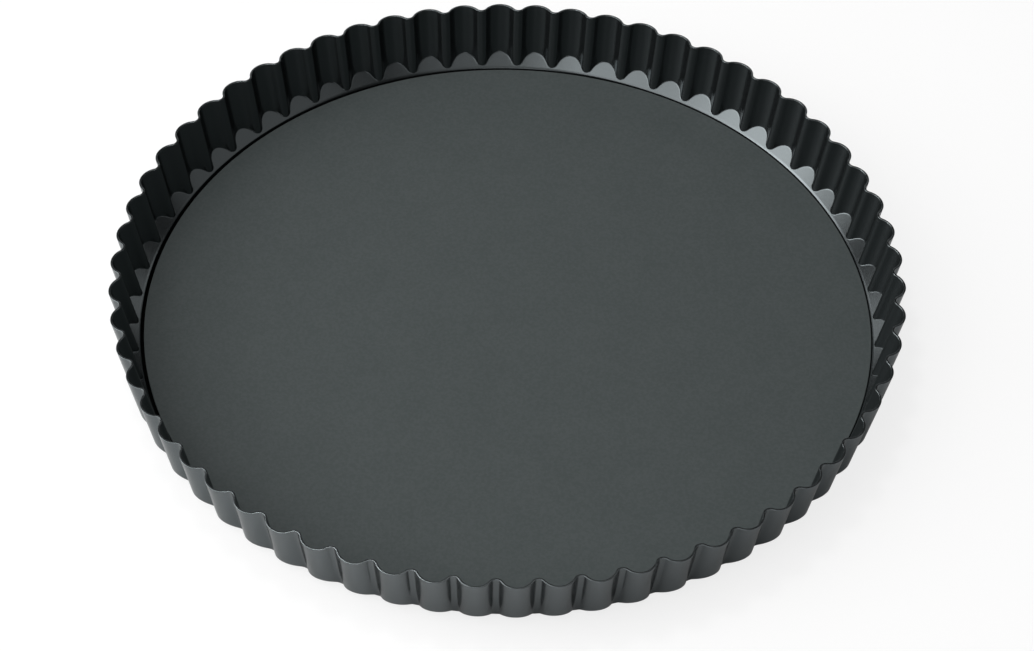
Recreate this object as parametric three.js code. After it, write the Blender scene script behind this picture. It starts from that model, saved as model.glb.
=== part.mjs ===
// Loose-bottom fluted tin: a pressed sheet ring with upright flutes, and a flat base that lies loose on
// the ring's seat. Millimetres, +Z up, origin on the surface that it stands on, at the ring's centre.

import * as THREE from 'three';
import { ParametricGeometry } from 'three/addons/geometries/ParametricGeometry.js';

// Ring, overall
const RIM_RADIUS = 150; // outer face at the crests, at the rim
const RIM_HEIGHT = 27.6; // rim above the floor at the crests
const RIM_WAVE = 0.4; // how much higher the trimmed rim stands at the ridges
const WALL_FLARE_DEG = 11.25; // lean of the wall away from upright
const SHEET = 0.8; // coated sheet of the ring

// Flutes
const FLUTE_COUNT = 62;
const FLUTE_DEPTH = 3.9; // crest to ridge along the radius
const RIDGE_BEND = 2.4; // bend radius of the narrow inward ridge, at the middle of the sheet

// Foot of the wall
const BEVEL_DEG = 38; // slope of the facet that closes each flute at its foot
const BEVEL_LEAD = 0.1; // bevel left in front of a ridge's foot
const STEP_DEG = 62; // slope of the step that rings the seat, under the bevel
const STEP_HEIGHT = 1.5;
const SEAT_WIDTH = 8; // flat inward flange that carries the base

// Loose base
const BASE_SHEET = 0.9;
const BASE_PLAY = 0.6; // gap all round between the base and the step's foot, if it lay centred
const BASE_LEAST_GAP = 0.1; // gap left on the side that the base lies nearest to
const BASE_LIE_DEG = -17; // direction in which it lies off centre, from +X
const BASE_EDGE = 0.2; // broken edge

// Facets
const CREST_STEPS = 2; // along half a crest
const RIDGE_STEPS = 2; // along half a ridge
const BASE_FACETS_PER_FLUTE = 3;

const rad = THREE.MathUtils.degToRad;
const lean = Math.tan(rad(WALL_FLARE_DEG));
const slope = Math.tan(rad(BEVEL_DEG));
const wall = SHEET / Math.cos(rad(WALL_FLARE_DEG)); // the sheet cut level
const bevelDrop = SHEET / Math.cos(rad(BEVEL_DEG)); // the sheet cut upright through the bevel
const crestAtFloor = RIM_RADIUS - RIM_HEIGHT * lean; // crest's outer face carried down to the floor
const stepTop = SHEET + STEP_HEIGHT;
const stepRadius = crestAtFloor + stepTop * lean - wall - FLUTE_DEPTH - BEVEL_LEAD; // upper edge, inside
const seatRadius = stepRadius - STEP_HEIGHT / Math.tan(rad(STEP_DEG)); // step's foot, inside
const holeRadius = seatRadius - SEAT_WIDTH;
const baseRadius = seatRadius - BASE_PLAY;
const baseShift = Math.max(BASE_PLAY - BASE_LEAST_GAP, 0);

// One half flute in plan, from crest to ridge: a broad arc and a narrow one that meet at a tangent.
// Each stop holds the way along the wall, the drop below the crest and the angle that the wall has turned.
function halfFlute() {
  const half = (Math.PI * (RIM_RADIUS - FLUTE_DEPTH / 2)) / FLUTE_COUNT;
  const crestBend = (half ** 2 + FLUTE_DEPTH ** 2) / (2 * FLUTE_DEPTH) - RIDGE_BEND;
  const fullTurn = 2 * Math.atan(FLUTE_DEPTH / half);
  const stops = [];
  for (let i = 0; i <= CREST_STEPS; i += 1) {
    const turn = (fullTurn * i) / CREST_STEPS;
    stops.push({ along: crestBend * Math.sin(turn), drop: crestBend * (1 - Math.cos(turn)), turn });
  }
  for (let i = RIDGE_STEPS - 1; i >= 0; i -= 1) {
    const turn = (fullTurn * i) / RIDGE_STEPS;
    const drop = FLUTE_DEPTH - RIDGE_BEND * (1 - Math.cos(turn));
    stops.push({ along: half - RIDGE_BEND * Math.sin(turn), drop, turn });
  }
  return { half, stops };
}

// All the wall's upright columns, once round the ring: each flute is a half flute and its mirror image.
function wallColumns() {
  const { half, stops } = halfFlute();
  const halfPitch = Math.PI / FLUTE_COUNT;
  const columns = [];
  for (let flute = 0; flute < FLUTE_COUNT; flute += 1) {
    const mirrored = stops.slice(1, -1).reverse();
    const sides = [...mirrored.map((stop) => [-1, stop]), ...stops.map((stop) => [1, stop])];
    for (const [side, stop] of sides) {
      const across = (wall / 2) * Math.sin(stop.turn);
      const angleOf = (along) => 2 * flute * halfPitch + ((side * along) / half) * halfPitch;
      columns.push({
        angle: angleOf(stop.along),
        outerAngle: angleOf(stop.along + across),
        innerAngle: angleOf(stop.along - across),
        outer: crestAtFloor - wall / 2 - stop.drop + (wall / 2) * Math.cos(stop.turn),
        inner: crestAtFloor - wall / 2 - stop.drop - (wall / 2) * Math.cos(stop.turn),
        rim: RIM_HEIGHT + (RIM_WAVE * stop.drop) / FLUTE_DEPTH,
      });
    }
  }
  return columns;
}

// Outer corner of the sheet where two slopes meet, from the inner one.
function throughSheet(radius, height, lowerDeg, upperDeg) {
  const reach = SHEET / Math.cos(rad(upperDeg - lowerDeg) / 2);
  const middle = rad(upperDeg + lowerDeg) / 2;
  return [radius + reach * Math.sin(middle), height - reach * Math.cos(middle)];
}

const [seatOutside] = throughSheet(seatRadius, SHEET, 0, STEP_DEG);
const [stepOutside, stepTopOutside] = throughSheet(stepRadius, stepTop, STEP_DEG, BEVEL_DEG);

// The sheet's corners at one column, from the hole's lower edge out, up the outer face and back inside.
function ringSection({ angle, outerAngle, innerAngle, outer, inner, rim }) {
  const steep = 1 - lean * slope;
  const outerFoot = (stepTop - bevelDrop + (outer - stepRadius) * slope) / steep;
  const innerFoot = (stepTop + (inner - stepRadius) * slope) / steep;
  return [
    [holeRadius, angle, 0],
    [seatOutside, outerAngle, 0],
    [stepOutside, outerAngle, stepTopOutside],
    [outer + outerFoot * lean, outerAngle, outerFoot],
    [outer + rim * lean, outerAngle, rim],
    [inner + rim * lean, innerAngle, rim],
    [inner + innerFoot * lean, innerAngle, innerFoot],
    [stepRadius, innerAngle, stepTop],
    [seatRadius, innerAngle, SHEET],
    [holeRadius, angle, SHEET],
  ];
}

// The ring is one closed sheet: its section is carried round all the columns, and both close on themselves.
function flutedRing() {
  const sections = wallColumns().map(ringSection);
  const corners = sections[0].length;
  const onSheet = (round, across, target) => {
    const section = sections[Math.round(round * sections.length) % sections.length];
    const [radius, angle, height] = section[Math.round(across * corners) % corners];
    target.set(radius * Math.cos(angle), radius * Math.sin(angle), height);
  };
  return new ParametricGeometry(onSheet, sections.length, corners);
}

// The base is a flat disc with its edge broken above and below.
function looseBase() {
  const profile = [
    [0, 0],
    [baseRadius - BASE_EDGE, 0],
    [baseRadius, BASE_EDGE],
    [baseRadius, BASE_SHEET - BASE_EDGE],
    [baseRadius - BASE_EDGE, BASE_SHEET],
    [0, BASE_SHEET],
  ].map(([radius, height]) => new THREE.Vector2(radius, height));
  return new THREE.LatheGeometry(profile, FLUTE_COUNT * BASE_FACETS_PER_FLUTE).rotateX(Math.PI / 2);
}

function coatedSteel(colour, roughness) {
  return new THREE.MeshStandardMaterial({ color: colour, roughness, metalness: 0.3 });
}

const ring = new THREE.Mesh(flutedRing(), coatedSteel(0x4a5050, 0.5));
ring.name = 'fluted_ring';

const base = new THREE.Mesh(looseBase(), coatedSteel(0x4e5454, 0.55));
base.name = 'loose_base';
base.position.set(baseShift * Math.cos(rad(BASE_LIE_DEG)), baseShift * Math.sin(rad(BASE_LIE_DEG)), SHEET);

const tin = new THREE.Group();
tin.add(ring, base);

export default tin;
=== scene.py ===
"""Looks of a loose-bottom fluted tin: a pressed ring of flutes and a flat base, both with a dark satin coat.

Metres, +Z up, origin on the surface that the tin stands on, at the ring's centre.
"""

import logging
import math
from dataclasses import dataclass, field, replace
from enum import Enum, auto
from typing import Any, Sequence

import bpy
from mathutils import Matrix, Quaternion, Vector


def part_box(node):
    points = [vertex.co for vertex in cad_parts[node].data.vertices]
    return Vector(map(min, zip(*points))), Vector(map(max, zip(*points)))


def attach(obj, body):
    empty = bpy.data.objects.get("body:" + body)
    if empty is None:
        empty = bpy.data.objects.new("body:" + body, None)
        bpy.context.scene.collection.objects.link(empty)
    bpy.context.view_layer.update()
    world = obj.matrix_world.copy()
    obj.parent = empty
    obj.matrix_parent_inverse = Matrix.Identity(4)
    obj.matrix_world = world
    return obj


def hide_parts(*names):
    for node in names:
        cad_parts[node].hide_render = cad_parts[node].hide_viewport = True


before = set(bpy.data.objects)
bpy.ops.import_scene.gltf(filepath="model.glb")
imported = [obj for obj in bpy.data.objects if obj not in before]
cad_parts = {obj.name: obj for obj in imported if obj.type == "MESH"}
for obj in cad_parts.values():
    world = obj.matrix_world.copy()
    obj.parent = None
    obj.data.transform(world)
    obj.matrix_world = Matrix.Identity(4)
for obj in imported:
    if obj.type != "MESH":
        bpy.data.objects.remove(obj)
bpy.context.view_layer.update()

Colour = tuple[float, float, float]
Span = tuple[float, float]
Socket = bpy.types.NodeSocket

LOG = logging.getLogger("tin")
RUB_ATTRIBUTE = "edge_rub"
# Point attribute of painted shade: 1 darkens the gap between the base's lower edge and the ring's seat to
# near-black.
GAP_SHADE_ATTRIBUTE = "seam"
MIX_FIRST = 6  # a Mix node's sockets for two colours and for the blend
MIX_SECOND = 7
MIX_RESULT = 2


@dataclass(frozen=True)
class Row:
    """One point of a section.

    Attributes:
        place: Where it lies.
        rub: How far the coat is rubbed there, from 0 to 1.
        seam: How far painted shade darkens it, in the gap under the base's edge, from 0 to 1.
    """

    place: Vector
    rub: float = 0.0
    seam: float = 0.0


@dataclass(frozen=True)
class Bend:
    """How one corner of a sheet's section is rounded.

    Attributes:
        radius: Radius of the rounding; 0 keeps the corner as a single row.
        steps: Facets along the rounding.
        guard_before: Whether a row beside the rounding holds the flat that leads up to it.
        guard_after: Whether a row beside the rounding holds the flat that follows it.
        rub: How far the coat is rubbed along the rounding, from 0 to 1.
        seam: How far painted shade darkens the rounding, in the gap under the base's edge, from 0 to 1.
        gap_shade_after: The same for the flat that follows it.
    """

    radius: float
    steps: int
    guard_before: bool = False
    guard_after: bool = False
    rub: float = 0.0
    seam: float = 0.0
    gap_shade_after: float = 0.0


class Corner(Enum):
    """Corners of the ring's sheet in section, from the hole's lower edge out, up and back inside."""

    HOLE_UNDER = auto()
    FOOT_UNDER = auto()
    STEP_UNDER = auto()
    BEVEL_UNDER = auto()
    RIM_OUTSIDE = auto()
    RIM_INSIDE = auto()
    BEVEL_TOP = auto()
    STEP_TOP = auto()
    STEP_BROW = auto()
    SEAT = auto()
    HOLE_TOP = auto()


@dataclass
class RoundedOutline:
    """A closed outline whose corners are rounded, with guard rows that keep its flats flat.

    Attributes:
        corners: The outline's corners in order.
        bends: The rounding of each corner.
        guard: Distance of a guard row from its rounding.
        corner_share: Largest share of a side that one corner's rounding may take.
        guard_share: Largest share of the flat left over that a guard row may take.
    """

    corners: Sequence[Vector]
    bends: Sequence[Bend]
    guard: float = 0.0004
    corner_share: float = 0.45
    guard_share: float = 0.3

    def rows(self) -> list[Row]:
        """Rounds every corner and sets the guard rows.

        Returns:
            The outline's points in order.
        """
        count = len(self.corners)
        reaches = [self._reach(index) for index in range(count)]
        rows: list[Row] = []
        for index, bend in enumerate(self.bends):
            corner = self.corners[index]
            to_last = self.corners[index - 1] - corner
            to_next = self.corners[(index + 1) % count] - corner
            back, ahead = to_last.normalized(), to_next.normalized()
            reach = reaches[index]
            if bend.guard_before:
                flat = to_last.length - reach - reaches[index - 1]
                rows.append(Row(corner + back * (reach + self._guard(flat))))
            arc = self._arc(corner, back, ahead, reach, bend.steps)
            rows.extend(Row(place, bend.rub, bend.seam) for place in arc)
            if bend.guard_after:
                flat = to_next.length - reach - reaches[(index + 1) % count]
                rows.append(Row(corner + ahead * (reach + self._guard(flat)), seam=bend.gap_shade_after))
        return rows

    def _reach(self, index: int) -> float:
        """Finds how far a corner's rounding reaches along its two sides.

        Args:
            index: The corner's place in the outline.

        Returns:
            The distance from the corner to where the rounding starts.
        """
        corner = self.corners[index]
        to_last = self.corners[index - 1] - corner
        to_next = self.corners[(index + 1) % len(self.corners)] - corner
        wanted = self.bends[index].radius / math.tan(to_last.angle(to_next) / 2)
        return min(wanted, self.corner_share * min(to_last.length, to_next.length))

    def _guard(self, flat: float) -> float:
        """Returns a guard row's distance from its rounding on a flat of that length."""
        return min(self.guard, self.guard_share * flat)

    @staticmethod
    def _arc(corner: Vector, back: Vector, ahead: Vector, reach: float, steps: int) -> list[Vector]:
        """Lays points along the rounding of one corner.

        Args:
            corner: The sharp corner.
            back: Direction to the last corner.
            ahead: Direction to the next corner.
            reach: Distance from the corner to the rounding's two ends.
            steps: Facets along the rounding.

        Returns:
            The points in order, from the last side to the next one.
        """
        if steps == 0:
            return [corner.copy()]
        half = back.angle(ahead) / 2
        centre = corner + (back + ahead).normalized() * (reach / math.cos(half))
        start = corner + back * reach - centre
        end = corner + ahead * reach - centre
        turn = math.pi - 2 * half
        return [
            centre
            + start * (math.sin(turn * (1 - step / steps)) / math.sin(turn))
            + end * (math.sin(turn * step / steps) / math.sin(turn))
            for step in range(steps + 1)
        ]


def grid_faces(width: int, height: int, round_about: bool, close_section: bool) -> list[tuple[int, ...]]:
    """Lists the faces between neighbouring sections whose points follow each other.

    Args:
        width: Number of sections, counter-clockwise seen from above.
        height: Points in each section.
        round_about: Whether the last section joins the first one.
        close_section: Whether the last point of a section joins its first one.

    Returns:
        The faces, each as the numbers of its points.
    """
    faces = []
    for column in range(width if round_about else width - 1):
        here, beside = column * height, (column + 1) % width * height
        for row in range(height if close_section else height - 1):
            above = (row + 1) % height
            faces.append((here + row, beside + row, beside + above, here + above))
    return faces


def scene_object(name: str, data: bpy.types.ID) -> bpy.types.Object:
    """Makes an object that is in the scene.

    Args:
        name: Name of the object.
        data: Its mesh, lamp or camera.

    Returns:
        The new object, at the origin.
    """
    made = bpy.data.objects.new(name, data)
    bpy.context.scene.collection.objects.link(made)
    return made


def mesh_object(name: str, rows: Sequence[Row], faces: Sequence[tuple[int, ...]]) -> bpy.types.Object:
    """Makes a smooth mesh object that is in the scene.

    Args:
        name: Name of the object and its mesh.
        rows: Its points.
        faces: Its faces, each as the numbers of its points.

    Returns:
        The new object, at the origin, with its rubbed edges and its painted gap shade in point attributes.
    """
    mesh = bpy.data.meshes.new(name)
    mesh.from_pydata([row.place for row in rows], [], faces)
    mesh.polygons.foreach_set("use_smooth", [True] * len(mesh.polygons))
    # The rubbed edges are wear; the second attribute is painted shade in the gap beside the base.
    wear_and_shade = {RUB_ATTRIBUTE: [row.rub for row in rows], GAP_SHADE_ATTRIBUTE: [row.seam for row in rows]}
    for attribute, values in wear_and_shade.items():
        mesh.attributes.new(attribute, "FLOAT", "POINT").data.foreach_set("value", values)
    mesh.update()
    return scene_object(name, mesh)


def polar(radius: float, angle: float, height: float) -> Vector:
    """Returns the point at a radius and angle round the upright axis, at a height."""
    return Vector((radius * math.cos(angle), radius * math.sin(angle), height))


@dataclass
class NodeSheet:
    """A node tree under construction, with short ways to add nodes and join them.

    Attributes:
        tree: The node tree.
    """

    tree: bpy.types.NodeTree

    @classmethod
    def emptied(cls, owner: bpy.types.Material | bpy.types.World) -> "NodeSheet":
        """Takes the nodes of a material or world, emptied of what Blender puts there.

        Args:
            owner: The material or world.

        Returns:
            A sheet of its nodes.
        """
        owner.use_nodes = True
        owner.node_tree.nodes.clear()
        return cls(owner.node_tree)

    def add(self, kind: str, **settings: Any) -> bpy.types.Node:
        """Adds a node.

        Args:
            kind: Blender's name of the node type.
            **settings: Properties of the node to set.

        Returns:
            The new node.
        """
        node = self.tree.nodes.new(kind)
        for name, value in settings.items():
            setattr(node, name, value)
        return node

    def join(self, source: Socket, target: Socket) -> None:
        """Joins an output to an input."""
        self.tree.links.new(source, target)

    def feed(self, value: Any, target: Socket) -> None:
        """Joins an output to an input, or sets the input to a plain value.

        Args:
            value: The output socket or the plain value.
            target: The input.
        """
        if isinstance(value, Socket):
            self.join(value, target)
        else:
            target.default_value = value

    def group(self, tree: bpy.types.NodeTree, inputs: dict[str, Any]) -> bpy.types.Node:
        """Adds a node group.

        Args:
            tree: The group's nodes.
            inputs: Its inputs by name, each a number or an output socket.

        Returns:
            The new node.
        """
        node = self.add("ShaderNodeGroup", node_tree=tree)
        for name, value in inputs.items():
            self.feed(value, node.inputs[name])
        return node

    def maths(self, operation: str, *values: Any, clamp: bool = False) -> Socket:
        """Adds a Math node.

        Args:
            operation: Blender's name of the sum.
            *values: Its inputs in order, each a number or an output socket.
            clamp: Whether the result is held between 0 and 1.

        Returns:
            The node's result.
        """
        node = self.add("ShaderNodeMath", operation=operation, use_clamp=clamp)
        for target, value in zip(node.inputs, values):
            self.feed(value, target)
        return node.outputs[0]

    def noise(self, place: Socket, size: Socket, detail: float) -> Socket:
        """Adds a noise whose blots have a given size.

        Args:
            place: Coordinates to read it at.
            size: Size of its blots, in metres.
            detail: How many finer layers it has.

        Returns:
            The noise's value.
        """
        node = self.add("ShaderNodeTexNoise")
        node.inputs["Detail"].default_value = detail
        self.join(place, node.inputs["Vector"])
        self.join(self.maths("DIVIDE", 1.0, size), node.inputs["Scale"])
        return node.outputs["Fac"]

    def remap(self, value: Socket, source: Span, target: Span) -> Socket:
        """Maps a value smoothly from one range to another, held at its ends.

        Args:
            value: The value to map.
            source: Range that it comes from.
            target: Range that it goes to.

        Returns:
            The mapped value.
        """
        node = self.add("ShaderNodeMapRange", interpolation_type="SMOOTHSTEP")
        self.join(value, node.inputs["Value"])
        for name, number in zip(("From Min", "From Max", "To Min", "To Max"), (*source, *target)):
            node.inputs[name].default_value = number
        return node.outputs["Result"]


@dataclass
class CoatEffects:
    """Node groups that the coats of the ring and the base share.

    Attributes:
        noise_span: Where nearly all values of a noise lie.
        blot_span: Values that broad blots run between, from thick coat at 0 to thin coat at 1.
        blot_detail: Finer layers of the blots.
        fleck_span: What a pebble takes from a blot's value or adds to it.
        pebble_detail: Finer layers of the pebbles.
        patch_span: Values of a noise between a kept patch and a rubbed one.
        patch_detail: Finer layers of the rubbed patches.
        rub_span: Least and most rubbing along an edge.
        gap_shade_wander: How far the edge of the painted shade wanders to either side.
        gap_shade_detail: Finer layers of that wandering.
        gap_shade_edge: Values of the gap-shade mask between plain coat and painted near-black shade.
        grain: Group of the coat's pebbles and blots.
        rub: Group of the rubbed edges.
        seam: Group of the painted shade in the gap beside the base.
    """

    noise_span: Span = (0.3, 0.7)
    blot_span: Span = (0.38, 0.62)
    blot_detail: float = 3.0
    fleck_span: Span = (-0.38, 0.38)
    pebble_detail: float = 1.0
    patch_span: Span = (0.35, 0.65)
    patch_detail: float = 4.0
    rub_span: Span = (0.25, 1.0)
    gap_shade_wander: Span = (-0.08, 0.08)
    gap_shade_detail: float = 2.0
    gap_shade_edge: Span = (0.2, 0.6)
    grain: bpy.types.NodeTree = field(init=False)
    rub: bpy.types.NodeTree = field(init=False)
    seam: bpy.types.NodeTree = field(init=False)

    def __post_init__(self) -> None:
        """Builds the groups."""
        self.grain = self._grain()
        self.rub = self._rub()
        self.seam = self._gap_shade()

    @staticmethod
    def _group(
        name: str, inputs: Sequence[tuple[str, str]], outputs: Sequence[str]
    ) -> tuple[NodeSheet, bpy.types.Node, bpy.types.Node]:
        """Starts a shader node group.

        Args:
            name: Name of the group.
            inputs: Name and socket type of each input.
            outputs: Names of its outputs, all plain values.

        Returns:
            The group's sheet, its input node and its output node.
        """
        tree = bpy.data.node_groups.new(name, "ShaderNodeTree")
        for label, kind in inputs:
            tree.interface.new_socket(label, in_out="INPUT", socket_type=kind)
        for label in outputs:
            tree.interface.new_socket(label, in_out="OUTPUT", socket_type="NodeSocketFloat")
        sheet = NodeSheet(tree)
        return sheet, sheet.add("NodeGroupInput"), sheet.add("NodeGroupOutput")

    def _grain(self) -> bpy.types.NodeTree:
        """Builds the sprayed coat's grain: fine pebbles, and broad blots of thicker and thinner coat.

        Returns:
            The finished group.
        """
        sheet, given, made = self._group(
            "coat_grain",
            [
                ("Place", "NodeSocketVector"),
                ("Grain Size", "NodeSocketFloat"),
                ("Blot Size", "NodeSocketFloat"),
            ],
            ["Blots", "Pebbles"],
        )
        blots = sheet.noise(given.outputs["Place"], given.outputs["Blot Size"], self.blot_detail)
        pebbles = sheet.noise(given.outputs["Place"], given.outputs["Grain Size"], self.pebble_detail)
        flecks = sheet.remap(pebbles, self.noise_span, self.fleck_span)
        broad = sheet.remap(blots, self.noise_span, self.blot_span)
        sheet.join(sheet.maths("ADD", broad, flecks, clamp=True), made.inputs["Blots"])
        sheet.join(pebbles, made.inputs["Pebbles"])
        return sheet.tree

    def _rub(self) -> bpy.types.NodeTree:
        """Builds the patchy rubbing of the coat along edges.

        Returns:
            The finished group.
        """
        sheet, given, made = self._group(
            "edge_rub",
            [
                ("Edge", "NodeSocketFloat"),
                ("Place", "NodeSocketVector"),
                ("Patch Size", "NodeSocketFloat"),
            ],
            ["Rub"],
        )
        patches = sheet.noise(given.outputs["Place"], given.outputs["Patch Size"], self.patch_detail)
        share = sheet.remap(patches, self.patch_span, self.rub_span)
        sheet.join(sheet.maths("MULTIPLY", given.outputs["Edge"], share, clamp=True), made.inputs["Rub"])
        return sheet.tree

    def _gap_shade(self) -> bpy.types.NodeTree:
        """Builds the painted shade in the gap beside the base, a near-black share that stands in for the
        shadow there.

        Returns:
            The finished group.
        """
        sheet, given, made = self._group(
            "painted_gap_shade",
            [
                ("Seam", "NodeSocketFloat"),
                ("Place", "NodeSocketVector"),
                ("Patch Size", "NodeSocketFloat"),
            ],
            ["Bare"],
        )
        # Painted shade: a wandering edge for the near-black gap beside the base.
        patches = sheet.noise(given.outputs["Place"], given.outputs["Patch Size"], self.gap_shade_detail)
        wander = sheet.remap(patches, self.noise_span, self.gap_shade_wander)
        edge = sheet.maths("ADD", given.outputs["Seam"], wander)
        sheet.join(sheet.remap(edge, self.gap_shade_edge, (0.0, 1.0)), made.inputs["Bare"])
        return sheet.tree


@dataclass(frozen=True)
class SatinCoat:
    """A dark satin non-stick coat on steel sheet.

    Attributes:
        name: Name of the material.
        deep: Colour where the coat lies thickest.
        thin: Colour where it lies thinnest.
        rubbed: Colour where an edge is rubbed.
        metallic: Share of the coat that reflects like its metal flakes.
        smoothest: Roughness of the shiniest blots.
        roughest: Roughness of the dullest blots.
        shade_black: Near-black colour painted into the gap beside the base as shade.
        gloss: Level of the reflection from the rest of the coat.
        glance: Share of the reflection that is kept at glancing angles.
        grain_size: Size of the pebbles.
        grain_depth: Height of the pebbles.
        blot_size: Size of the blots.
        patch_size: Size of the rubbed patches.
    """

    name: str
    deep: Colour
    thin: Colour
    rubbed: Colour
    metallic: float
    smoothest: float
    roughest: float
    # Near-black painted shade for the gap beside the base.
    shade_black: Colour = (0.006, 0.006, 0.006)
    gloss: float = 0.5
    glance: float = 1.0
    grain_size: float = 0.0005
    grain_depth: float = 0.00001
    blot_size: float = 0.02
    patch_size: float = 0.012

    def material(self, effects: CoatEffects) -> bpy.types.Material:
        """Makes the coat's material.

        Args:
            effects: The node groups that the coats share.

        Returns:
            The new material.
        """
        made = bpy.data.materials.new(self.name)
        sheet = NodeSheet.emptied(made)
        place = sheet.add("ShaderNodeTexCoord").outputs["Object"]
        edge = sheet.add("ShaderNodeAttribute", attribute_name=RUB_ATTRIBUTE).outputs["Fac"]
        gap = sheet.add("ShaderNodeAttribute", attribute_name=GAP_SHADE_ATTRIBUTE).outputs["Fac"]
        grain = sheet.group(
            effects.grain,
            {"Place": place, "Grain Size": self.grain_size, "Blot Size": self.blot_size},
        )
        rub = sheet.group(effects.rub, {"Place": place, "Edge": edge, "Patch Size": self.patch_size})
        seam = sheet.group(effects.seam, {"Place": place, "Seam": gap, "Patch Size": self.patch_size})
        coat = self._blend(sheet, grain.outputs["Blots"], self.deep, self.thin)
        worn = self._blend(sheet, rub.outputs["Rub"], coat, self.rubbed)
        # Painted shade: the gap beside the base is blended to near-black.
        colour = self._blend(sheet, seam.outputs["Bare"], worn, self.shade_black)
        bump = sheet.add("ShaderNodeBump")
        bump.inputs["Strength"].default_value = 1.0
        bump.inputs["Distance"].default_value = self.grain_depth
        sheet.join(grain.outputs["Pebbles"], bump.inputs["Height"])
        surface = sheet.add("ShaderNodeBsdfPrincipled")
        surface.inputs["Specular IOR Level"].default_value = self.gloss
        surface.inputs["Specular Tint"].default_value = (self.glance, self.glance, self.glance, 1.0)
        sheet.join(colour, surface.inputs["Base Color"])
        # Painted shade: the gap turns fully metallic too, so its near-black reflects almost nothing.
        metal = sheet.remap(seam.outputs["Bare"], (0.0, 1.0), (self.metallic, 1.0))
        sheet.join(metal, surface.inputs["Metallic"])
        dull = sheet.remap(grain.outputs["Blots"], (0.0, 1.0), (self.smoothest, self.roughest))
        sheet.join(dull, surface.inputs["Roughness"])
        sheet.join(bump.outputs["Normal"], surface.inputs["Normal"])
        sheet.join(surface.outputs["BSDF"], sheet.add("ShaderNodeOutputMaterial").inputs["Surface"])
        return made

    @staticmethod
    def _blend(sheet: NodeSheet, share: Socket, first: Colour | Socket, second: Colour) -> Socket:
        """Blends two colours.

        Args:
            sheet: The material's nodes.
            share: How much of the second colour there is.
            first: The first colour, given or from a node.
            second: The second colour.

        Returns:
            The blended colour.
        """
        node = sheet.add("ShaderNodeMix", data_type="RGBA")
        sheet.join(share, node.inputs["Factor"])
        sheet.feed(first if isinstance(first, Socket) else (*first, 1.0), node.inputs[MIX_FIRST])
        sheet.feed((*second, 1.0), node.inputs[MIX_SECOND])
        return node.outputs[MIX_RESULT]


@dataclass(frozen=True)
class FluteStop:
    """One upright line of the wall in plan.

    Attributes:
        along: Its way from the crest, along the wall.
        drop: How far it lies inward of the crest.
        turn: Angle between the wall there and the wall at the crest.
    """

    along: float
    drop: float
    turn: float


def ring_bends() -> dict[Corner, Bend]:
    """Returns the rounding of each corner of the ring's sheet."""
    return {
        Corner.HOLE_UNDER: Bend(0.0002, 2, guard_after=True),
        Corner.FOOT_UNDER: Bend(0.0016, 4, guard_before=True),
        Corner.STEP_UNDER: Bend(0.0006, 2, guard_after=True),
        Corner.BEVEL_UNDER: Bend(0.0016, 4, guard_before=True, guard_after=True),
        Corner.RIM_OUTSIDE: Bend(0.0002, 3, guard_before=True, rub=0.6),
        Corner.RIM_INSIDE: Bend(0.0002, 3, guard_after=True, rub=0.6),
        Corner.BEVEL_TOP: Bend(0.0008, 5, guard_before=True, guard_after=True),
        Corner.STEP_TOP: Bend(0.0006, 2, guard_before=True),
        Corner.STEP_BROW: Bend(0.001, 5, guard_before=True),
        # The seat's rounding and the flat after it take painted shade, for the gap under the base's edge.
        Corner.SEAT: Bend(0.0004, 4, guard_before=True, guard_after=True, seam=1.0, gap_shade_after=1.0),
        Corner.HOLE_TOP: Bend(0.0002, 2, guard_before=True),
    }


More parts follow.
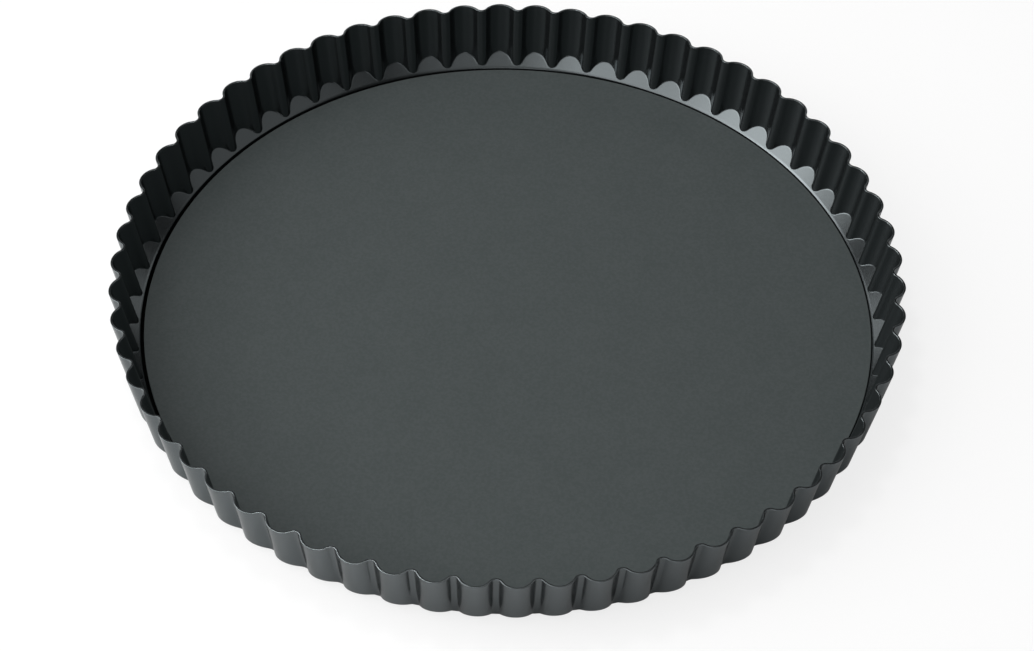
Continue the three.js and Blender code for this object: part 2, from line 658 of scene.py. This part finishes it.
@dataclass
class FlutedRing:
    """The ring: one pressed sheet with a fluted wall, a bevel at each flute's foot, a step and a flat seat.

    Attributes:
        rim_radius: Outer face at the crests, at the rim.
        rim_height: Rim above the floor at the crests.
        rim_wave: How much higher the trimmed rim stands at the ridges.
        flare: Lean of the wall away from upright.
        sheet: Thickness of the coated sheet.
        flutes: Number of flutes.
        flute_depth: Crest to ridge along the radius.
        ridge_bend: Bend radius of the narrow inward ridge, at the middle of the sheet.
        bevel: Slope of the facet that closes each flute at its foot.
        bevel_lead: Bevel left in front of a ridge's foot.
        step_slope: Slope of the step that rings the seat, under the bevel.
        step_height: Height of that step.
        brow_slope: Slope of the step's upper half, which is rounded over.
        foot_slope: Slope of its lower half.
        seat_width: Flat inward flange that carries the base.
        crest_steps: Facets along half a crest.
        ridge_steps: Facets along half a ridge.
        flank_ease: How much broader the bevel's roundings are on the flutes' flanks.
        merge_distance: Gap up to which neighbouring flutes are one sheet.
        bends: Rounding of each corner of the sheet.
    """

    rim_radius: float = 0.150
    rim_height: float = 0.0276
    rim_wave: float = 0.0004
    flare: float = math.radians(11.25)
    sheet: float = 0.0008
    flutes: int = 62
    flute_depth: float = 0.0039
    ridge_bend: float = 0.0024
    bevel: float = math.radians(38)
    bevel_lead: float = 0.0001
    step_slope: float = math.radians(62)
    step_height: float = 0.0015
    brow_slope: float = math.radians(46)
    foot_slope: float = math.radians(78)
    seat_width: float = 0.008
    crest_steps: int = 7
    ridge_steps: int = 6
    flank_ease: float = 1.2
    merge_distance: float = 0.00001
    bends: dict[Corner, Bend] = field(default_factory=ring_bends)

    @property
    def wall(self) -> float:
        """Thickness of the sheet where the leaning wall is cut level."""
        return self.sheet / math.cos(self.flare)

    @property
    def crest_at_floor(self) -> float:
        """Radius of the crests' outer face, carried down to the floor."""
        return self.rim_radius - self.rim_height * math.tan(self.flare)

    @property
    def step_top(self) -> float:
        """Height of the step's upper edge."""
        return self.sheet + self.step_height

    @property
    def step_radius(self) -> float:
        """Radius of the step's upper edge, inside."""
        ridge = self.crest_at_floor + self.step_top * math.tan(self.flare) - self.wall - self.flute_depth
        return ridge - self.bevel_lead

    @property
    def seat_radius(self) -> float:
        """Radius of the step's foot, inside."""
        return self.step_radius - self.step_height / math.tan(self.step_slope)

    @property
    def step_brow(self) -> tuple[float, float]:
        """Place where the step's two halves meet, inside.

        Returns:
            Its radius and height.
        """
        run = self.step_radius - self.seat_radius
        upper, lower = math.tan(self.brow_slope), math.tan(self.foot_slope)
        out = (self.step_height - run * upper) / (lower - upper)
        return self.seat_radius + out, self.sheet + out * lower

    @property
    def half_width(self) -> float:
        """Half a flute along the wall, midway between its crest and its ridges."""
        return math.pi * (self.rim_radius - self.flute_depth / 2) / self.flutes

    def half_flute(self) -> list[FluteStop]:
        """Lays out half a flute as a broad arc and a narrow one that meet at a tangent.

        Returns:
            Its stops, from crest to ridge.
        """
        half, depth, ridge = self.half_width, self.flute_depth, self.ridge_bend
        crest = (half**2 + depth**2) / (2 * depth) - ridge
        full = 2 * math.atan(depth / half)
        stops = []
        for step in range(self.crest_steps + 1):
            turn = full * step / self.crest_steps
            stops.append(FluteStop(crest * math.sin(turn), crest * (1 - math.cos(turn)), turn))
        for step in reversed(range(self.ridge_steps)):
            turn = full * step / self.ridge_steps
            drop = depth - ridge * (1 - math.cos(turn))
            stops.append(FluteStop(half - ridge * math.sin(turn), drop, turn))
        return stops

    def column(self, stop: FluteStop, side: int) -> list[Row]:
        """Cuts the sheet at one upright line of the wall.

        Args:
            stop: The line's place in its half flute.
            side: 1 on the side of the crest with the larger angles, and -1 on the other.

        Returns:
            The section's rows in order.
        """
        lean, slope = math.tan(self.flare), math.tan(self.bevel)
        across = self.wall / 2 * math.sin(stop.turn)
        depth = self.wall / 2 * math.cos(stop.turn)
        middle = self.crest_at_floor - self.wall / 2 - stop.drop
        outer, inner = middle + depth, middle - depth
        to_angle = side * math.pi / self.flutes / self.half_width
        angle = stop.along * to_angle
        outer_angle, inner_angle = (stop.along + across) * to_angle, (stop.along - across) * to_angle
        rim = self.rim_height + self.rim_wave * stop.drop / self.flute_depth
        steep = 1 - lean * slope
        bevel_drop = self.sheet / math.cos(self.bevel)
        outer_foot = (self.step_top - bevel_drop + (outer - self.step_radius) * slope) / steep
        inner_foot = (self.step_top + (inner - self.step_radius) * slope) / steep
        seat_outside, _ = self._through_sheet(self.seat_radius, self.sheet, 0.0, self.step_slope)
        step_outside, step_under = self._through_sheet(
            self.step_radius, self.step_top, self.step_slope, self.bevel
        )
        brow_radius, brow_height = self.step_brow
        hole = self.seat_radius - self.seat_width
        places = {
            Corner.HOLE_UNDER: polar(hole, angle, 0),
            Corner.FOOT_UNDER: polar(seat_outside, outer_angle, 0),
            Corner.STEP_UNDER: polar(step_outside, outer_angle, step_under),
            Corner.BEVEL_UNDER: polar(outer + outer_foot * lean, outer_angle, outer_foot),
            Corner.RIM_OUTSIDE: polar(outer + rim * lean, outer_angle, rim),
            Corner.RIM_INSIDE: polar(inner + rim * lean, inner_angle, rim),
            Corner.BEVEL_TOP: polar(inner + inner_foot * lean, inner_angle, inner_foot),
            Corner.STEP_TOP: polar(self.step_radius, inner_angle, self.step_top),
            Corner.STEP_BROW: polar(brow_radius, inner_angle, brow_height),
            Corner.SEAT: polar(self.seat_radius, inner_angle, self.sheet),
            Corner.HOLE_TOP: polar(hole, angle, self.sheet),
        }
        return RoundedOutline([places[corner] for corner in Corner], self._bends_at(stop)).rows()

    def _through_sheet(
        self, radius: float, height: float, lower: float, upper: float
    ) -> tuple[float, float]:
        """Finds the sheet's outer corner where two slopes meet.

        Args:
            radius: Radius of the inner corner.
            height: Height of the inner corner.
            lower: Slope below the corner.
            upper: Slope above it.

        Returns:
            Radius and height of the outer corner.
        """
        reach = self.sheet / math.cos((upper - lower) / 2)
        middle = (upper + lower) / 2
        return radius + reach * math.sin(middle), height - reach * math.cos(middle)

    def _bends_at(self, stop: FluteStop) -> list[Bend]:
        """Makes the bevel's roundings broader on a flute's flanks.

        Args:
            stop: The line of the wall that they belong to.

        Returns:
            The rounding of every corner, in order.
        """
        ease = 1 + self.flank_ease * math.sin(stop.turn) ** 2
        bends = dict(self.bends)
        for corner in (Corner.BEVEL_UNDER, Corner.BEVEL_TOP):
            bends[corner] = replace(bends[corner], radius=bends[corner].radius * ease)
        return [bends[corner] for corner in Corner]

    def pattern_tree(self) -> bpy.types.NodeTree:
        """Builds the Geometry Nodes tree that repeats one flute all round the ring.

        Returns:
            The finished tree.
        """
        tree = bpy.data.node_groups.new("flute_pattern", "GeometryNodeTree")
        for label, kind in (
            ("Flute", "NodeSocketGeometry"),
            ("Flute Count", "NodeSocketInt"),
            ("Merge Distance", "NodeSocketFloat"),
            ("Coat", "NodeSocketMaterial"),
        ):
            tree.interface.new_socket(label, in_out="INPUT", socket_type=kind)
        tree.interface.new_socket("Ring", in_out="OUTPUT", socket_type="NodeSocketGeometry")
        sheet = NodeSheet(tree)
        given, made = sheet.add("NodeGroupInput"), sheet.add("NodeGroupOutput")
        points = sheet.add("GeometryNodeMeshLine")
        points.inputs["Offset"].default_value = (0.0, 0.0, 0.0)
        sheet.join(given.outputs["Flute Count"], points.inputs["Count"])
        pitch = sheet.maths("DIVIDE", 2 * math.pi, given.outputs["Flute Count"])
        angle = sheet.maths("MULTIPLY", sheet.add("GeometryNodeInputIndex").outputs["Index"], pitch)
        turn = sheet.add("ShaderNodeCombineXYZ")
        sheet.join(angle, turn.inputs["Z"])
        rotation = sheet.add("FunctionNodeEulerToRotation")
        sheet.join(turn.outputs["Vector"], rotation.inputs["Euler"])
        flutes = sheet.add("GeometryNodeInstanceOnPoints")
        sheet.join(points.outputs["Mesh"], flutes.inputs["Points"])
        sheet.join(given.outputs["Flute"], flutes.inputs["Instance"])
        sheet.join(rotation.outputs["Rotation"], flutes.inputs["Rotation"])
        real = sheet.add("GeometryNodeRealizeInstances")
        sheet.join(flutes.outputs["Instances"], real.inputs["Geometry"])
        merged = sheet.add("GeometryNodeMergeByDistance")
        sheet.join(real.outputs["Geometry"], merged.inputs["Geometry"])
        sheet.join(given.outputs["Merge Distance"], merged.inputs["Distance"])
        coated = sheet.add("GeometryNodeSetMaterial")
        sheet.join(merged.outputs["Geometry"], coated.inputs["Geometry"])
        sheet.join(given.outputs["Coat"], coated.inputs["Material"])
        sheet.join(coated.outputs["Geometry"], made.inputs["Ring"])
        return tree

    def build(self, coat: bpy.types.Material) -> bpy.types.Object:
        """Makes one flute, repeats it round the ring and hands the result to the CAD body.

        Args:
            coat: Material of the ring.

        Returns:
            The finished piece.
        """
        stops = self.half_flute()
        columns = [self.column(stop, -1) for stop in reversed(stops[1:])]
        columns += [self.column(stop, 1) for stop in stops]
        faces = grid_faces(len(columns), len(columns[0]), round_about=False, close_section=True)
        ring = mesh_object("coated_ring", [row for rows in columns for row in rows], faces)
        tree = self.pattern_tree()
        pattern = ring.modifiers.new("flutes", "NODES")
        pattern.node_group = tree
        values = {"Flute Count": self.flutes, "Merge Distance": self.merge_distance, "Coat": coat}
        for socket in tree.interface.items_tree:
            if socket.name in values:
                pattern[socket.identifier] = values[socket.name]
        graph = bpy.context.evaluated_depsgraph_get()
        baked = bpy.data.meshes.new_from_object(
            ring.evaluated_get(graph), preserve_all_data_layers=True, depsgraph=graph
        )
        ring.modifiers.remove(pattern)
        ring.data = baked
        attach(ring, "ring")
        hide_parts("fluted_ring")
        return ring


@dataclass
class LooseBase:
    """The base: one flat sheet disc with softened edges, lying loose on the ring's seat.

    Attributes:
        edge_bend: Rounding of its upper and lower edge.
        edge_steps: Facets along that rounding.
        facets: Facets round its edge.
    """

    edge_bend: float = 0.0003
    edge_steps: int = 4
    facets: int = 720

    def build(self, coat: bpy.types.Material) -> bpy.types.Object:
        """Turns the disc's section round where the CAD base lies and hands it to the CAD body.

        Args:
            coat: Material of the base.

        Returns:
            The finished piece.
        """
        low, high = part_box("loose_base")
        centre = Vector(((low.x + high.x) / 2, (low.y + high.y) / 2, 0.0))
        radius = (high.x - low.x) / 2
        # The base's lower edge takes painted shade, where it lies in the gap on the seat.
        under_edge = Bend(self.edge_bend, self.edge_steps, guard_before=True, guard_after=True, seam=1.0)
        top_edge = Bend(self.edge_bend, self.edge_steps, guard_before=True, guard_after=True, rub=1.0)
        tip = Bend(0.0, 0)
        rows: list[Row] = []
        for facet in range(self.facets):
            angle = 2 * math.pi * facet / self.facets
            places = ((0.0, low.z), (radius, low.z), (radius, high.z), (0.0, high.z))
            corners = [centre + polar(reach, angle, height) for reach, height in places]
            rows += RoundedOutline(corners, [tip, under_edge, top_edge, tip]).rows()[1:-1]
        height = len(rows) // self.facets
        faces = grid_faces(self.facets, height, round_about=True, close_section=False)
        under, top = len(rows), len(rows) + 1
        rows += [Row(centre + Vector((0.0, 0.0, height_at))) for height_at in (low.z, high.z)]
        for facet in range(self.facets):
            here, beside = facet * height, (facet + 1) % self.facets * height
            faces += [(under, beside, here), (top, here + height - 1, beside + height - 1)]
        base = mesh_object("coated_base", rows, faces)
        base.data.materials.append(coat)
        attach(base, "base")
        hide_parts("loose_base")
        return base


@dataclass(frozen=True)
class Softbox:
    """A square area lamp that faces the tin.

    Attributes:
        name: Name of the lamp.
        azimuth: Direction that it stands in, in degrees from +X towards +Y.
        elevation: Its height above the floor as seen from the tin, in degrees.
        distance: How far off it stands.
        width: Length of its sides.
        power: Its light, in watts.
    """

    name: str
    azimuth: float
    elevation: float
    distance: float
    width: float
    power: float

    def build(self) -> None:
        """Puts the lamp into the scene."""
        lamp = bpy.data.lights.new(self.name, "AREA")
        lamp.shape = "SQUARE"
        lamp.size = self.width
        lamp.energy = self.power
        made = scene_object(self.name, lamp)
        azimuth, elevation = math.radians(self.azimuth), math.radians(self.elevation)
        made.location = polar(math.cos(elevation), azimuth, math.sin(elevation)) * self.distance
        made.rotation_mode = "QUATERNION"
        made.rotation_quaternion = (-made.location).to_track_quat("-Z", "Y")


@dataclass
class Studio:
    """The pale floor, the soft light and the camera.

    Attributes:
        floor_size: Side of the floor.
        floor_drop: How far the floor lies under the tin, so that their faces don't meet.
        floor_colour: Colour of the floor.
        floor_white: Share of plain white in the floor as the camera sees it.
        floor_gleam: The same as reflections see it.
        fill: Strength of the plain light from all round.
        lamps: The softboxes.
        eye: Where the camera stands.
        aim: Point on the floor that it looks at.
        roll: Turn of the camera about its line of sight, in degrees.
        lens: Its focal length, in millimetres.
        sensor: Width of its sensor, in millimetres.
        clip: Nearest and farthest distance that it sees.
    """

    floor_size: float = 16.0
    floor_drop: float = 0.00005
    floor_colour: Colour = (0.95, 0.95, 0.95)
    floor_white: float = 0.8
    floor_gleam: float = 0.04
    fill: float = 0.01
    lamps: Sequence[Softbox] = (  # name, azimuth, elevation, distance, width and power
        Softbox("left_softbox", 180.0, 35.0, 1.3, 1.0, 5.2),
        Softbox("left_front_softbox", 205.0, 44.0, 1.3, 1.45, 13.0),
        Softbox("left_low_softbox", 180.0, 16.0, 1.3, 0.8, 5.0),
        Softbox("left_back_softbox", 137.0, 13.0, 1.3, 0.4, 0.9),
        Softbox("right_softbox", 0.0, 40.0, 1.3, 1.0, 1.3),
        Softbox("right_back_softbox", 43.0, 13.0, 1.3, 0.4, 0.5),
        Softbox("back_softbox", 90.0, 25.0, 1.4, 0.7, 1.2),
        Softbox("front_low_softbox", 270.0, 11.0, 1.4, 0.5, 1.3),
        Softbox("front_high_softbox", 270.0, 50.0, 1.4, 1.0, 1.4),
        Softbox("top_softbox", 270.0, 88.0, 1.4, 0.8, 3.0),
        Softbox("high_softbox", 135.0, 72.0, 1.8, 0.3, 6.0),
    )
    eye: tuple[float, float, float] = (0.009461, -0.896696, 0.988526)
    aim: tuple[float, float, float] = (0.003898, -0.000928, 0.0)
    roll: float = 1.5793
    lens: float = 121.45
    sensor: float = 36.0
    clip: Span = (0.01, 100.0)

    def build(self) -> None:
        """Sets up the floor, the light, the camera and the plain view of colours."""
        self._floor()
        self._world()
        for lamp in self.lamps:
            lamp.build()
        self._camera()
        bpy.context.scene.view_settings.view_transform = "Standard"

    def _white_share(self, sheet: NodeSheet) -> Socket:
        """Adds the share of plain white in the floor, which is only seen and doesn't light the tin.

        Args:
            sheet: The floor's nodes.

        Returns:
            The share.
        """
        path = sheet.add("ShaderNodeLightPath")
        seen = sheet.maths("MAXIMUM", path.outputs["Is Camera Ray"], path.outputs["Is Transmission Ray"])
        gleam = sheet.maths("MULTIPLY", path.outputs["Is Glossy Ray"], self.floor_gleam)
        return sheet.maths("MAXIMUM", sheet.maths("MULTIPLY", seen, self.floor_white), gleam)

    def _floor(self) -> None:
        """Lays the floor, which keeps the tin's shadow."""
        half = self.floor_size / 2
        mesh = bpy.data.meshes.new("floor")
        corners = [(-half, -half), (half, -half), (half, half), (-half, half)]
        mesh.from_pydata([(x, y, -self.floor_drop) for x, y in corners], [], [(0, 1, 2, 3)])
        floor = scene_object("floor", mesh)
        paper = bpy.data.materials.new("floor_paper")
        sheet = NodeSheet.emptied(paper)
        matt = sheet.add("ShaderNodeBsdfDiffuse")
        matt.inputs["Color"].default_value = (*self.floor_colour, 1.0)
        white = sheet.add("ShaderNodeEmission")
        mixed = sheet.add("ShaderNodeMixShader")
        layers = (self._white_share(sheet), matt.outputs["BSDF"], white.outputs["Emission"])
        for source, target in zip(layers, mixed.inputs):
            sheet.join(source, target)
        sheet.join(mixed.outputs["Shader"], sheet.add("ShaderNodeOutputMaterial").inputs["Surface"])
        mesh.materials.append(paper)

    def _world(self) -> None:
        """Makes the plain surroundings, which give a soft fill light."""
        world = bpy.data.worlds.new("studio")
        sheet = NodeSheet.emptied(world)
        back = sheet.add("ShaderNodeBackground")
        back.inputs["Color"].default_value = (1.0, 1.0, 1.0, 1.0)
        back.inputs["Strength"].default_value = self.fill
        sheet.join(back.outputs["Background"], sheet.add("ShaderNodeOutputWorld").inputs["Surface"])
        bpy.context.scene.world = world

    def _camera(self) -> None:
        """Sets the camera where the photograph was taken from."""
        optics = bpy.data.cameras.new("camera")
        optics.lens = self.lens
        optics.sensor_width = self.sensor
        optics.clip_start, optics.clip_end = self.clip
        camera = scene_object("camera", optics)
        camera.location = self.eye
        camera.rotation_mode = "QUATERNION"
        level = (Vector(self.aim) - Vector(self.eye)).to_track_quat("-Z", "Y")
        camera.rotation_quaternion = level @ Quaternion((0.0, 0.0, 1.0), math.radians(self.roll))
        bpy.context.scene.camera = camera


RING_COAT = SatinCoat(
    name="ring_satin",
    deep=(0.100, 0.112, 0.116),
    thin=(0.105, 0.117, 0.121),
    rubbed=(0.127, 0.139, 0.143),
    metallic=0.95,
    smoothest=0.21,
    roughest=0.24,
    glance=0.75,
)
BASE_COAT = SatinCoat(
    name="base_satin",
    deep=(0.0535, 0.0635, 0.0633),
    thin=(0.0645, 0.0745, 0.0747),
    rubbed=(0.07, 0.08, 0.08),
    metallic=0.05,
    smoothest=0.47,
    roughest=0.51,
    gloss=0.15,
    grain_size=0.0011,
    grain_depth=0.000014,
)


def main() -> None:
    """Builds the tin and its studio."""
    logging.basicConfig(level=logging.INFO, format="%(message)s")
    effects = CoatEffects()
    pieces = [
        FlutedRing().build(RING_COAT.material(effects)),
        LooseBase().build(BASE_COAT.material(effects)),
    ]
    Studio().build()


if __name__ == "__main__":
    main()
